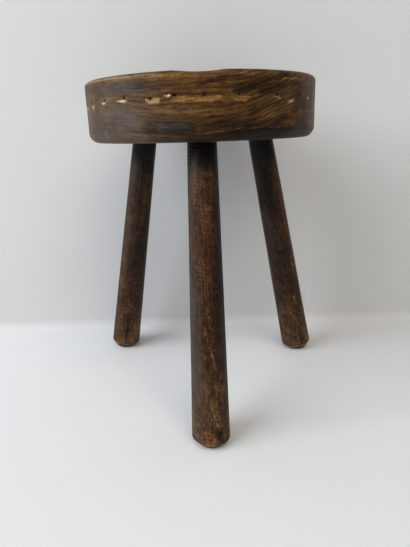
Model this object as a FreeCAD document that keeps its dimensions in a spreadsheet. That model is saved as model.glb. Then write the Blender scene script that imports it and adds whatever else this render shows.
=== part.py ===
import FreeCAD, Part
import math
import os

import Sketcher
from FreeCAD import Vector

# A hand-made stool: a thick round slab of hardwood on three splayed legs, which swell towards the floor.
# Each leg ends in a round tenon that goes right through the seat, where a wedge from above spreads it.
# A line of small holes round the rim was left by the tacks of a cover that is gone.
# The front is -Y, and the seat's grain runs along X. The stool stands on the plane Z = 0. The origin is the
# middle of its outline there. An azimuth is counted from +X towards +Y, seen from above.

# The driving sizes, in millimetres and degrees. Each one is a cell of the sheet, under the same name.
SIZES = {
    # The slab, and the height of its underside over the floor
    "seat_diameter": 300.0,
    "seat_thickness": 72.0,
    "underside_height": 357.0,
    "top_edge_round": 5.0,
    "bottom_edge_round": 12.0,
    # The shallow hollow in the top, the level rim round it, and the worn dip in the front of the rim
    "rim_width": 22.0,
    "hollow_depth": 3.5,
    "dip_width": 52.0,
    "dip_depth": 2.0,
    # The legs: round, thickest at the floor, and as thin as the tenon where they enter the seat
    "leg_splay": 12.4,
    "foot_diameter": 47.5,
    "tenon_diameter": 35.0,
    "tenon_proud": 0.4,
    "mortise_clearance": 0.1,
    # Where each leg's axis meets the underside: the azimuth, and how far in from the rim. Each foot has its
    # own worn round.
    "front_azimuth": -90.0,
    "front_inset": 51.0,
    "front_foot_round": 6.0,
    "rear_right_azimuth": 24.5,
    "rear_right_inset": 56.5,
    "rear_right_foot_round": 8.0,
    "rear_left_azimuth": 147.0,
    "rear_left_inset": 48.0,
    "rear_left_foot_round": 5.0,
    # The wedges, and the saw cuts that they open
    "wedge_depth": 45.0,
    "wedge_head": 5.0,
    "wedge_tip": 1.2,
    "wedge_clearance": 0.05,
    # The tack holes, with the height of their line given from the top
    "tack_line_drop": 25.0,
    "tack_wander": 1.5,
    "tack_hole_diameter": 2.2,
    "tack_hole_depth": 9.0,
    "first_tack_azimuth": -149.0,
    # How far a cutting shape runs on past what it cuts
    "overrun": 10.0,
}

SIDES = ("front", "rear_right", "rear_left")

# Each gap from a tack hole to the next, as a share of the mean gap, and each hole's height over the line, as
# a share of the wander. They start at the left end of the front and go round by the right.
TACK_GAP_SHARES = (
    0.97, 1.01, 1.00, 0.80, 0.93, 1.09, 1.40, 1.14, 1.17, 0.92, 1.04, 0.89, 1.03, 0.98,
    0.90, 1.06, 0.95, 1.01, 0.87, 1.05, 0.94, 1.00, 0.91, 1.04, 0.96, 0.99, 0.93, 1.02,
)
TACK_RISE_SHARES = (
    -0.3, 0.4, 0.8, -0.6, 0.8, 0.1, 0.1, -0.1, -0.4, 0.0, -0.6, 0.4, 0.1, -0.5,
    0.3, 0.9, -0.1, -0.4, 0.2, 0.5, -0.7, 0.0, 0.6, -0.3, 0.2, -0.2, 0.5, 0.3,
)

# Lengths that follow from the sizes
SEAT_RADIUS = "(size.seat_diameter / 2)"
TOP_HEIGHT = "(size.underside_height + size.seat_thickness)"
HOLLOW_EDGE = f"({SEAT_RADIUS} - size.rim_width)"
HOLLOW_RADIUS = f"(({HOLLOW_EDGE}^2 + size.hollow_depth^2) / (2 * size.hollow_depth))"
DIP_RADIUS = "(((size.dip_width / 2)^2 + size.dip_depth^2) / (2 * size.dip_depth))"
FOOT_RADIUS = "(size.foot_diameter / 2)"
TENON_RADIUS = "(size.tenon_diameter / 2)"
MORTISE_RADIUS = f"({TENON_RADIUS} + size.mortise_clearance)"

# Lengths along a leg's axis, from the floor: to where the tenon starts, just under the seat, and to the top
AXIS_TO_TENON = f"(size.underside_height / cos(size.leg_splay) - {MORTISE_RADIUS} * tan(size.leg_splay))"
AXIS_TO_TOP = f"({TOP_HEIGHT} / cos(size.leg_splay))"
LEG_TAPER = f"(({FOOT_RADIUS} - {TENON_RADIUS}) / {AXIS_TO_TENON})"
WEDGE_TAPER = "((size.wedge_head - size.wedge_tip) / size.wedge_depth)"

# What a leg's blank has to spare at both ends, where the floor and the seat's top cut it off at a slant
SPARE = f"({FOOT_RADIUS} * tan(size.leg_splay) + size.overrun)"

# Points this near to a plane count as on it
NEAR = 1e-6

doc = FreeCAD.newDocument("stool")

# The sheet of sizes
sheet = doc.addObject("Spreadsheet::Sheet", "size")
for row, (name, number) in enumerate(SIZES.items(), start=1):
    sheet.set(f"A{row}", name)
    sheet.set(f"B{row}", str(number))
    sheet.setAlias(f"B{row}", name)
doc.recompute()


# Places
def value(expression):
    """What a sum over the sheet comes to."""
    return float(sheet.evalExpression(expression))


def place(x="0", y="0", z="0", yaw="0", pitch="0"):
    """The sum for a placement: turned by the pitch about Y, then by the yaw about Z, and moved."""
    move = f"create(<<vector>>; {x}; {y}; {z})"
    turn = f"create(<<rotation>>; {yaw}; {pitch}; 0)"
    return f"create(<<placement>>; {move}; {turn})"


def seat_reach(side):
    """How far a leg's axis is from the seat's axis, at the underside."""
    return f"({SEAT_RADIUS} - size.{side}_inset)"


def foot_reach(side):
    """The same, at the floor."""
    return f"({seat_reach(side)} + size.underside_height * tan(size.leg_splay))"


def outline_middle(along, across):
    """The middle of the stool's outline from above: along X for cos and sin, and along Y for sin and cos."""
    high = [SEAT_RADIUS]
    low = [f"-{SEAT_RADIUS}"]
    for side in SIDES:
        foot = f"{foot_reach(side)} * {along}(size.{side}_azimuth)"
        long_half = f"{FOOT_RADIUS} / cos(size.leg_splay) * {along}(size.{side}_azimuth)"
        short_half = f"{FOOT_RADIUS} * {across}(size.{side}_azimuth)"
        high.append(f"{foot} + hypot({long_half}; {short_half})")
        low.append(f"{foot} - hypot({long_half}; {short_half})")
    return f"((max({'; '.join(high)}) + min({'; '.join(low)})) / 2)"


MIDDLE_X = outline_middle("cos", "sin")
MIDDLE_Y = outline_middle("sin", "cos")


def leg_place(side):
    """A leg's frame: where its axis meets the floor, with Z up the leg and X outwards."""
    x = f"{foot_reach(side)} * cos(size.{side}_azimuth) - {MIDDLE_X}"
    y = f"{foot_reach(side)} * sin(size.{side}_azimuth) - {MIDDLE_Y}"
    return place(x, y, yaw=f"size.{side}_azimuth", pitch="-size.leg_splay")


# Drawing
def new_body(label, where):
    """A body for one piece, in its place in the stool."""
    body = doc.addObject("PartDesign::Body", label)
    body.Label = label
    body.setExpression("Placement", where)
    return body


def attach(feature, body, role, offset):
    """Puts a sketch or a primitive on one of its body's own planes, shifted and turned by the offset."""
    plane = next(item for item in body.Origin.OriginFeatures if item.Role == role)
    feature.AttachmentSupport = (plane, [""])
    feature.MapMode = "FlatFace"
    feature.setExpression("AttachmentOffset", offset)


def new_sketch(body, name, role, offset=place()):
    sketch = body.newObject("Sketcher::SketchObject", name)
    attach(sketch, body, role, offset)
    return sketch


def pin(sketch, edge, point, x, y):
    """Ties a point of an edge to the sheet: x across the sketch and y up it."""
    for kind, expression in (("DistanceX", x), ("DistanceY", y)):
        number = sketch.addConstraint(Sketcher.Constraint(kind, -1, 1, edge, point, value(expression)))
        sketch.setExpression(f"Constraints[{number}]", expression)


def draw_outline(sketch, corners):
    """A closed outline of straight lines through the corners."""
    first = sketch.GeometryCount
    points = [Vector(value(x), value(y), 0) for x, y in corners]
    for start, end in zip(points, points[1:] + points[:1]):
        sketch.addGeometry(Part.LineSegment(start, end), False)
    for i, (x, y) in enumerate(corners):
        following = first + (i + 1) % len(corners)
        sketch.addConstraint(Sketcher.Constraint("Coincident", first + i, 2, following, 1))
        pin(sketch, first + i, 1, x, y)


def draw_circle(sketch, radius, x="0", y="0"):
    centre = Vector(value(x), value(y), 0)
    edge = sketch.addGeometry(Part.Circle(centre, Vector(0, 0, 1), value(radius)), False)
    pin(sketch, edge, 3, x, y)
    number = sketch.addConstraint(Sketcher.Constraint("Radius", edge, value(radius)))
    sketch.setExpression(f"Constraints[{number}]", radius)


# Shaping
def pad(body, sketch, length, both_ways=False):
    feature = body.newObject("PartDesign::Pad", f"{sketch.Label}_pad")
    feature.Profile = sketch
    feature.setExpression("Length", length)
    feature.SideType = "Symmetric" if both_ways else "One side"
    doc.recompute()


def cut_through(body, sketch, both_ways=True):
    """Cuts a sketch's outlines through the body, both ways or only towards the side that the sketch faces."""
    feature = body.newObject("PartDesign::Pocket", f"{sketch.Label}_cut")
    feature.Profile = sketch
    feature.Type = "ThroughAll"
    feature.SideType = "Symmetric" if both_ways else "One side"
    feature.Reversed = not both_ways
    doc.recompute()


def round_edges(body, name, radius, belongs):
    """Rounds each edge whose points all pass the test."""
    base = body.Tip
    names = []
    for i, edge in enumerate(base.Shape.Edges, start=1):
        if all(belongs(point) for point in (edge.valueAt(edge.FirstParameter), edge.CenterOfMass)):
            names.append(f"Edge{i}")
    feature = body.newObject("PartDesign::Fillet", name)
    feature.Base = (base, names)
    feature.setExpression("Radius", radius)
    doc.recompute()


def cut_hollow(body, radius, x, z):
    """Cuts the ball that makes the seat's hollow, with its centre at x and z."""
    ball = body.newObject("PartDesign::SubtractiveSphere", "hollow")
    ball.setExpression("Radius", radius)
    attach(ball, body, "XY_Plane", place(x=x, z=z))
    doc.recompute()


def cut_level(body, bands):
    """Cuts level bands out of a leg or a wedge, each from one height over the floor to another."""
    level = new_sketch(body, "level", "XZ_Plane", place(yaw="-size.leg_splay"))
    left, right = f"-{AXIS_TO_TOP}", AXIS_TO_TOP
    for low, high in bands:
        draw_outline(level, [(left, low), (right, low), (right, high), (left, high)])
    cut_through(body, level)


def trim_top(body, side, bands=()):
    """Cuts the end of a tenon or a wedge to the seat's top, hollow and all, and leaves it a little proud."""
    top = f"({TOP_HEIGHT} + size.tenon_proud)"
    cut_level(body, [*bands, (top, f"{top} + {SPARE} + {FOOT_RADIUS}")])
    ball_height = f"({TOP_HEIGHT} - size.hollow_depth + {HOLLOW_RADIUS})"
    x = f"{ball_height} * sin(size.leg_splay) - {foot_reach(side)} * cos(size.leg_splay)"
    z = f"{ball_height} * cos(size.leg_splay) + {foot_reach(side)} * sin(size.leg_splay)"
    cut_hollow(body, f"{HOLLOW_RADIUS} - size.tenon_proud", x, z)


def draw_wedge(body, side, clearance):
    """The wedge from its narrow side, in the leg's frame. It spreads the tenon along the grain of the seat."""
    sketch = new_sketch(body, "wedge", "XZ_Plane", place(pitch=f"-size.{side}_azimuth"))
    tip = f"(size.wedge_tip / 2 + {clearance})"
    head = f"(size.wedge_head / 2 + {WEDGE_TAPER} / 2 * {SPARE} + {clearance})"
    low = f"({AXIS_TO_TOP} - size.wedge_depth - {clearance})"
    high = f"({AXIS_TO_TOP} + {SPARE})"
    draw_outline(sketch, [(f"-{tip}", low), (tip, low), (head, high), (f"-{head}", high)])
    return sketch


# The seat: one thick round slab, cut across the grain at its left and right, with its edges eased by hand
def seat():
    body = new_body("seat", place(f"-{MIDDLE_X}", f"-{MIDDLE_Y}", "size.underside_height"))
    slab = new_sketch(body, "slab", "XY_Plane")
    draw_circle(slab, SEAT_RADIUS)
    pad(body, slab, "size.seat_thickness")
    thickness = value("size.seat_thickness")
    round_edges(body, "top_round", "size.top_edge_round", lambda point: abs(point.z - thickness) < NEAR)
    round_edges(body, "bottom_round", "size.bottom_edge_round", lambda point: abs(point.z) < NEAR)
    cut_hollow(body, HOLLOW_RADIUS, "0", f"size.seat_thickness - size.hollow_depth + {HOLLOW_RADIUS}")
    dip = new_sketch(body, "dip", "XZ_Plane")
    draw_circle(dip, DIP_RADIUS, y=f"size.seat_thickness - size.dip_depth + {DIP_RADIUS}")
    cut_through(body, dip, both_ways=False)
    for side in SIDES:
        x = f"{seat_reach(side)} * cos(size.{side}_azimuth)"
        y = f"{seat_reach(side)} * sin(size.{side}_azimuth)"
        lean = place(x, y, yaw=f"size.{side}_azimuth", pitch="-size.leg_splay")
        mortise = new_sketch(body, f"{side}_mortise", "XY_Plane", lean)
        draw_circle(mortise, MORTISE_RADIUS)
        cut_through(body, mortise)
    cut_tack_holes(body)
    return body


def cut_tack_holes(body):
    """The holes go straight in from the side, at the tacks' own uneven spacing."""
    for i, rise_share in enumerate(TACK_RISE_SHARES):
        turn_share = sum(TACK_GAP_SHARES[:i]) / sum(TACK_GAP_SHARES)
        azimuth = f"(size.first_tack_azimuth + 360 * {turn_share})"
        bottom = f"({SEAT_RADIUS} - size.tack_hole_depth)"
        height = f"size.seat_thickness - size.tack_line_drop + size.tack_wander * {rise_share}"
        hole = body.newObject("PartDesign::SubtractiveCylinder", "tack_hole")
        hole.setExpression("Radius", "size.tack_hole_diameter / 2")
        hole.setExpression("Height", "size.tack_hole_depth + size.overrun")
        start = place(f"{bottom} * cos({azimuth})", f"{bottom} * sin({azimuth})", height, azimuth, "90")
        attach(hole, body, "XY_Plane", start)
        doc.recompute()


# A leg: turned or shaved round, cut level at the floor and worn round there, with a sawn slot for its wedge
def leg(side):
    body = new_body(f"{side}_leg", leg_place(side))
    shape = new_sketch(body, "shape", "XZ_Plane")
    widest = f"{FOOT_RADIUS} + {LEG_TAPER} * {SPARE}"
    end = f"{AXIS_TO_TOP} + {SPARE}"
    half = [(widest, f"-{SPARE}"), (TENON_RADIUS, AXIS_TO_TENON), (TENON_RADIUS, end)]
    draw_outline(shape, [("0", f"-{SPARE}"), *half, ("0", end)])
    blank = body.newObject("PartDesign::Revolution", "blank")
    blank.Profile = shape
    blank.ReferenceAxis = (shape, ["V_Axis"])
    blank.Angle = 360
    doc.recompute()
    trim_top(body, side, [(f"-({SPARE} + {FOOT_RADIUS})", "0")])
    splay = math.radians(value("size.leg_splay"))
    floor = Vector(math.sin(splay), 0, math.cos(splay))
    round_edges(body, "foot_round", f"size.{side}_foot_round", lambda point: abs(floor.dot(point)) < NEAR)
    cut_through(body, draw_wedge(body, side, "size.wedge_clearance"))
    return body


# A wedge: a thin slip of hardwood as wide as the tenon, driven in from above and cut off flush
def wedge(side):
    body = new_body(f"{side}_wedge", leg_place(side))
    pad(body, draw_wedge(body, side, "0"), "size.tenon_diameter", both_ways=True)
    around = new_sketch(body, "around", "XY_Plane")
    draw_circle(around, TENON_RADIUS)
    draw_circle(around, "size.tenon_diameter")
    cut_through(body, around)
    trim_top(body, side)
    return body


pieces = [seat()]
for side in SIDES:
    pieces += [leg(side), wedge(side)]
doc.recompute()

# Everything is sound, each piece is one solid, and each step of a piece changes it
for item in doc.Objects:
    if "Invalid" in item.State or "Error" in item.State:
        raise RuntimeError(f"{item.Label} failed: {item.State}")
for piece in pieces:
    if piece.Shape.isNull() or not piece.Shape.isValid() or len(piece.Shape.Solids) != 1:
        raise RuntimeError(f"{piece.Label} isn't one sound solid")
    steps = [item for item in piece.Group if item.isDerivedFrom("PartDesign::Feature")]
    for before, after in zip(steps, steps[1:]):
        if math.isclose(before.Shape.Volume, after.Shape.Volume, rel_tol=1e-9):
            raise RuntimeError(f"{after.Label} changes nothing in {piece.Label}")

os.makedirs("parts", exist_ok=True)
for piece in pieces:
    piece.Shape.exportStep(f"parts/{piece.Label}.step")
    print(f"{piece.Label}: {len(piece.Shape.Faces)} faces, {piece.Shape.Volume:.0f} mm3")
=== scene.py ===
import math
import random

import bmesh
import bpy
from mathutils import Matrix, Vector, noise


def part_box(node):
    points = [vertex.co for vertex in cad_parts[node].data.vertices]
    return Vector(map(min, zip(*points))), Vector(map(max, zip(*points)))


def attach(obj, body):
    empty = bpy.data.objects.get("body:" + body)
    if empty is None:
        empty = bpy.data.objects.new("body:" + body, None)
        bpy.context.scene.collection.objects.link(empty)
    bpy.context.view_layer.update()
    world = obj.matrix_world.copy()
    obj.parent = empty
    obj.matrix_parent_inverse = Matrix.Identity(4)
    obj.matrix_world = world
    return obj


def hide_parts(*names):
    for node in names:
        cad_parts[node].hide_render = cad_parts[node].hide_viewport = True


# The wooden stool, dressed: a thick round seat on three splayed legs that are wedged through it
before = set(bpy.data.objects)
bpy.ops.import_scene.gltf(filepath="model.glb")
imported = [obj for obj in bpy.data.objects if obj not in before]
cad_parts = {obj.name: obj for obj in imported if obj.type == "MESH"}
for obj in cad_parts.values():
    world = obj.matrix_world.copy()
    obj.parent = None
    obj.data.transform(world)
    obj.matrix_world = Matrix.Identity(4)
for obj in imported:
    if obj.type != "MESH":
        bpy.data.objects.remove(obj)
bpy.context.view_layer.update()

# Seat
# One thick round board of old oiled hardwood, with its grain running from the left to the right. It was sawn,
# hollowed and eased by hand, and bored for the legs. A cover was once tacked on round its rim: the holes are
# left, with bare scrapes where the tacks were prised out.
MM = 0.001
seat_low, seat_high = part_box("seat")
SEAT_MIDDLE = ((seat_low + seat_high) / 2).to_2d()
SEAT_RADIUS = (seat_high.x - seat_low.x) / 2
SEAT_UNDERSIDE = seat_low.z
SEAT_TOP = seat_high.z
TOP_EDGE_ROUND = 5 * MM
BOTTOM_EDGE_ROUND = 12 * MM
RIM_RADIUS = SEAT_RADIUS - 22 * MM
HOLLOW_DEPTH = 3.5 * MM
DIP_WIDTH = 52 * MM
DIP_DEPTH = 2 * MM
DIP_LENGTH = 60 * MM
HOLLOW_EDGE_ROUND = 0.3 * MM
DIP_EDGE_ROUND = 1.2 * MM
SEAT_UNEVENNESS = 0.7 * MM
SEAT_BUMP_LENGTH = 60 * MM
SEAT_PLACES_ROUND = 800
SHARP_EDGE_ANGLE = 38
# The unevenness fades out over this height where a piece gets even, and within this radius near its axis
EVEN_FADE = 20 * MM
EVEN_MIDDLE = 10 * MM
# Corners nearer than this are one
ONE_PLACE = 0.005 * MM
# How far under the top a piece starts to take the top's shape, and where it has all of it
SHAPED_FROM = 34 * MM
SHAPED_TO = 8 * MM


class Amount:
    """A number that a node tree works out, so that a formula can be written out as one."""

    def __init__(self, socket):
        self.socket = socket
        self.tree = socket.id_data

    def work(self, operation, *others):
        return worked_out(self.tree, operation, self, *others)

    def __add__(self, other):
        return self.work("ADD", other)

    def __sub__(self, other):
        return self.work("SUBTRACT", other)

    def __rsub__(self, other):
        return worked_out(self.tree, "SUBTRACT", other, self)

    def __mul__(self, other):
        return self.work("MULTIPLY", other)

    def __truediv__(self, other):
        return self.work("DIVIDE", other)

    def __pow__(self, other):
        return self.work("POWER", other)

    def between(self, low, high):
        """0 at low and 1 at high, with a soft start and end."""
        wires = {"Value": self, "From Min": low, "From Max": high}
        share = put(self.tree, "ShaderNodeMapRange", wires, interpolation_type="SMOOTHSTEP")
        return Amount(share.outputs[0])

    __radd__ = __add__
    __rmul__ = __mul__


def worked_out(tree, operation, *terms):
    return Amount(put(tree, "ShaderNodeMath", terms, operation=operation).outputs[0])


def put(tree, kind, wires=(), **settings):
    """Adds a node, sets it, and joins each amount, wire or value to its input, by number or by name."""
    node = tree.nodes.new(kind)
    for name, setting in settings.items():
        setattr(node, name, setting)
    for key, value in (wires.items() if isinstance(wires, dict) else enumerate(wires)):
        if isinstance(value, Amount):
            value = value.socket
        if isinstance(value, bpy.types.NodeSocket):
            tree.links.new(value, node.inputs[key])
        else:
            node.inputs[key].default_value = value
    return node


def split(vector):
    return [Amount(part) for part in put(vector.id_data, "ShaderNodeSeparateXYZ", [vector]).outputs]


def join(x, y, z):
    return put(x.tree, "ShaderNodeCombineXYZ", [x, y, z]).outputs[0]


def cloud(vector, size=1.0, detail=2.0, roughness=0.5, distortion=0.0):
    """Soft noise from about -0.5 to 0.5."""
    wires = {"Vector": vector, "Scale": size, "Detail": detail, "Roughness": roughness,
             "Distortion": distortion}
    return Amount(put(vector.id_data, "ShaderNodeTexNoise", wires).outputs[0]) - 0.5


def new_tree(name, start, sizes, end):
    """An empty Geometry Nodes tree with named inputs: a shape to start from, sizes, and a finish."""
    tree = bpy.data.node_groups.new(name, "GeometryNodeTree")
    tree.is_modifier = True
    tree.interface.new_socket(start, in_out="INPUT", socket_type="NodeSocketGeometry")
    for size, usual in sizes.items():
        kind = "NodeSocketInt" if isinstance(usual, int) else "NodeSocketFloat"
        tree.interface.new_socket(size, in_out="INPUT", socket_type=kind).default_value = usual
    tree.interface.new_socket("Finish", in_out="INPUT", socket_type="NodeSocketMaterial")
    tree.interface.new_socket(end, in_out="OUTPUT", socket_type="NodeSocketGeometry")
    given = put(tree, "NodeGroupInput").outputs
    return tree, {name: Amount(given[name]) for name in [start, *sizes, "Finish"]}


def end_tree(tree, shape, finish):
    """Makes the shape real, gives it its finish and hands it out."""
    real = put(tree, "GeometryNodeRealizeInstances", [shape.outputs[0]])
    dressed = put(tree, "GeometryNodeSetMaterial", {"Geometry": real.outputs[0], "Material": finish})
    put(tree, "NodeGroupOutput", [dressed.outputs[0]])


def turning_tree():
    """Spins an outline of radii and heights round an axis, makes it a little uneven, and leans it outwards.

    What reaches the seat's top takes the top's shape: its hollow, and the dip that wear has left in front."""
    tree, given = new_tree("turned piece", "Outline", {
        "Places round": 96, "Reach": 0.0, "Splay": 0.0, "Azimuth": 0.0, "Unevenness": 0.0,
        "Bump length": 0.1, "Bump width": 0.03, "Even above": 1.0, "Seed": 0.0, "Dip depth": 0.0}, "Piece")
    size = put(tree, "GeometryNodeAttributeDomainSize", [given["Outline"]], component="MESH")
    rows = Amount(size.outputs[0])
    sheet = put(tree, "GeometryNodeMeshGrid", {"Vertices X": given["Places round"] + 1, "Vertices Y": rows})
    here = put(tree, "GeometryNodeInputPosition").outputs[0]
    across, up, _ = split(here)
    row = ((up + 0.5) * (rows - 1)).work("ROUND")
    turn = (across + 0.5) * math.tau
    corner = put(tree, "GeometryNodeSampleIndex", {"Geometry": given["Outline"], "Value": here, "Index": row},
                 data_type="FLOAT_VECTOR", domain="POINT")
    radius, _, height = split(corner.outputs[0])

    x = radius * turn.work("COSINE")
    y = radius * turn.work("SINE")
    width = given["Bump width"]
    bump = put(tree, "ShaderNodeTexNoise", {
        "Vector": join(x / width, y / width, height / given["Bump length"]), "W": given["Seed"],
        "Scale": 1, "Detail": 1.5}, noise_dimensions="4D").outputs[0]
    uneven = (Amount(bump) - 0.5) * given["Unevenness"] * 2
    uneven = uneven * (height - given["Even above"]).between(0, -EVEN_FADE)
    swell = 1 + uneven / radius.work("MAXIMUM", EVEN_MIDDLE)
    lean = given["Splay"]
    out = given["Reach"] + x * swell / lean.work("COSINE") - height * lean.work("TANGENT")
    side = y * swell
    way = given["Azimuth"]
    cosine = way.work("COSINE")
    sine = way.work("SINE")
    x = out * cosine - side * sine
    y = out * sine + side * cosine

    ball = (RIM_RADIUS ** 2 + HOLLOW_DEPTH ** 2) / (2 * HOLLOW_DEPTH)
    hollow = ball ** 2 - x * x - y * y
    hollow = hollow.work("SQRT") - (ball - HOLLOW_DEPTH)
    dip = given["Dip depth"] * (1 - x * x / (DIP_WIDTH / 2) ** 2) * y.between(0, -DIP_LENGTH)
    drop = hollow.work("SMOOTH_MAX", 0, HOLLOW_EDGE_ROUND).work("SMOOTH_MAX", dip, DIP_EDGE_ROUND)
    height = height - drop * height.between(SEAT_TOP - SHAPED_FROM, SEAT_TOP - SHAPED_TO)

    place = join(x + SEAT_MIDDLE.x, y + SEAT_MIDDLE.y, height)
    shaped = put(tree, "GeometryNodeSetPosition", {"Geometry": sheet.outputs[0], "Position": place})
    closed = put(tree, "GeometryNodeMergeByDistance", {"Geometry": shaped.outputs[0], "Distance": ONE_PLACE})
    end_tree(tree, closed, given["Finish"])
    return tree


def in_scene(name, contents):
    thing = bpy.data.objects.new(name, contents)
    bpy.context.scene.collection.objects.link(thing)
    return thing


def plain_mesh(piece):
    """Gives the piece the mesh that its modifiers make, in place of them."""
    depsgraph = bpy.context.evaluated_depsgraph_get()
    mesh = bpy.data.meshes.new_from_object(piece.evaluated_get(depsgraph), depsgraph=depsgraph)
    if mesh.materials[0] is None:
        # The empty slot that a tree's grid or cone starts with
        mesh.materials.pop(index=0)
    old = piece.data
    piece.modifiers.clear()
    piece.data = mesh
    mesh.name = piece.name
    bpy.data.meshes.remove(old)


def close_up(piece):
    """Merges doubles, turns all faces outwards and shades the piece smooth between its sharp edges."""
    touching = 0.002 * MM
    shape = bmesh.new()
    shape.from_mesh(piece.data)
    bmesh.ops.remove_doubles(shape, verts=shape.verts, dist=touching)
    bmesh.ops.dissolve_degenerate(shape, edges=shape.edges, dist=touching)
    bmesh.ops.recalc_face_normals(shape, faces=shape.faces)
    shape.to_mesh(piece.data)
    shape.free()
    piece.data.shade_smooth()
    piece.data.set_sharp_from_angle(angle=math.radians(SHARP_EDGE_ANGLE))


def shape_by(tree, piece, **inputs):
    """Makes the piece a plain mesh of the shape that the tree gives it."""
    shaping = piece.modifiers.new("shaping", "NODES")
    shaping.node_group = tree
    for item in tree.interface.items_tree:
        if item.in_out == "INPUT" and item.name in inputs:
            shaping[item.identifier] = inputs[item.name]
    plain_mesh(piece)
    close_up(piece)
    return piece


def turn_piece(name, outline, finish, **sizes):
    """Makes a piece with the turning tree from an outline that goes up from the middle of its foot."""
    mesh = bpy.data.meshes.new(name)
    mesh.from_pydata([(radius, 0, height) for radius, height in outline], [], [])
    mesh.materials.append(finish)
    return shape_by(TURNING, in_scene(name, mesh), Finish=finish, **sizes)


def steps(start, end, count):
    """Points in a straight line, without the last."""
    start, way = Vector(start), Vector(end) - Vector(start)
    return [start + way * (i / count) for i in range(count)]


def arc(middle, radius, start, end, count):
    """Points round an arc from one angle to another, in degrees up from level, with the last."""
    turns = [math.radians(start + (end - start) * i / count) for i in range(count + 1)]
    return [middle + radius * Vector((math.cos(turn), math.sin(turn))) for turn in turns]


def cut(piece, cutter):
    """Cuts the cutter out of the piece and takes it away."""
    corners_before = len(piece.data.vertices)
    boolean = piece.modifiers.new("cut", "BOOLEAN")
    boolean.operation = "DIFFERENCE"
    boolean.solver = "EXACT"
    boolean.material_mode = "TRANSFER"
    boolean.object = cutter
    plain_mesh(piece)
    bpy.data.objects.remove(cutter)
    if len(piece.data.vertices) < corners_before / 2:
        raise RuntimeError(f"{piece.name} was lost in the cut")


TURNING = turning_tree()

LEG_SPLAY = 12.4
LEG_TOP_RADIUS = 17.5 * MM
LEG_FOOT_RADIUS = 23.75 * MM
MORTISE_CLEARANCE = 0.15 * MM
# How far each leg's axis stands out from the seat's at the floor, its direction, and the round of its foot
LEGS = {
    "front": (177.5 * MM, -90.0, 6 * MM),
    "rear_right": (172.0 * MM, 24.5, 8 * MM),
    "rear_left": (180.5 * MM, 147.0, 5 * MM),
}


def leg_axis(side, height):
    """The place of a leg's axis at a height, seen from above."""
    reach, azimuth, _ = LEGS[side]
    way = math.radians(azimuth)
    out = reach - height * math.tan(math.radians(LEG_SPLAY))
    return SEAT_MIDDLE + Vector((math.cos(way), math.sin(way))) * out


def coloured(factor, dark, light, blend="MIX"):
    """One colour over another, as far as the factor says."""
    colours = [(*colour, 1) if isinstance(colour, tuple) else colour for colour in (dark, light)]
    mixed = put(factor.tree, "ShaderNodeMix", {0: factor, 6: colours[0], 7: colours[1]},
                data_type="RGBA", blend_type=blend, clamp_factor=True)
    return mixed.outputs[2]


def ramp(amount, *stops):
    """Colours or tones from place to place along an amount."""
    node = put(amount.tree, "ShaderNodeValToRGB", [amount])
    marks = node.color_ramp.elements
    while len(marks) < len(stops):
        marks.new(0.5)
    for mark, (place, colour) in zip(marks, stops):
        mark.position = place
        mark.color = (*colour, 1) if isinstance(colour, tuple) else (colour, colour, colour, 1)
    return node.outputs[0]


def painted(tree, name):
    return Amount(put(tree, "ShaderNodeAttribute", attribute_name=name).outputs["Fac"])


def new_finish(name, gloss=0.16):
    """A finish with only its shader yet, and the place on the object in millimetres to make it from."""
    finish = bpy.data.materials.new(name)
    finish.use_nodes = True
    tree = finish.node_tree
    tree.nodes.clear()
    shader = put(tree, "ShaderNodeBsdfPrincipled", {"IOR": 1.46, "Specular IOR Level": gloss})
    put(tree, "ShaderNodeOutputMaterial", [shader.outputs[0]])
    coordinates = put(tree, "ShaderNodeTexCoord").outputs["Object"]
    place = put(tree, "ShaderNodeVectorMath", {0: coordinates, "Scale": 1 / MM}, operation="SCALE").outputs[0]
    return finish, tree, shader, place


def finish_off(shader, colour, roughness, relief, strength, depth):
    """Joins a finish's colour, roughness and relief to its shader."""
    tree = shader.id_data
    bump = put(tree, "ShaderNodeBump", {"Strength": strength, "Distance": depth, "Height": relief})
    tree.links.new(colour, shader.inputs["Base Color"])
    tree.links.new(roughness.socket, shader.inputs["Roughness"])
    tree.links.new(bump.outputs[0], shader.inputs["Normal"])


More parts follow.
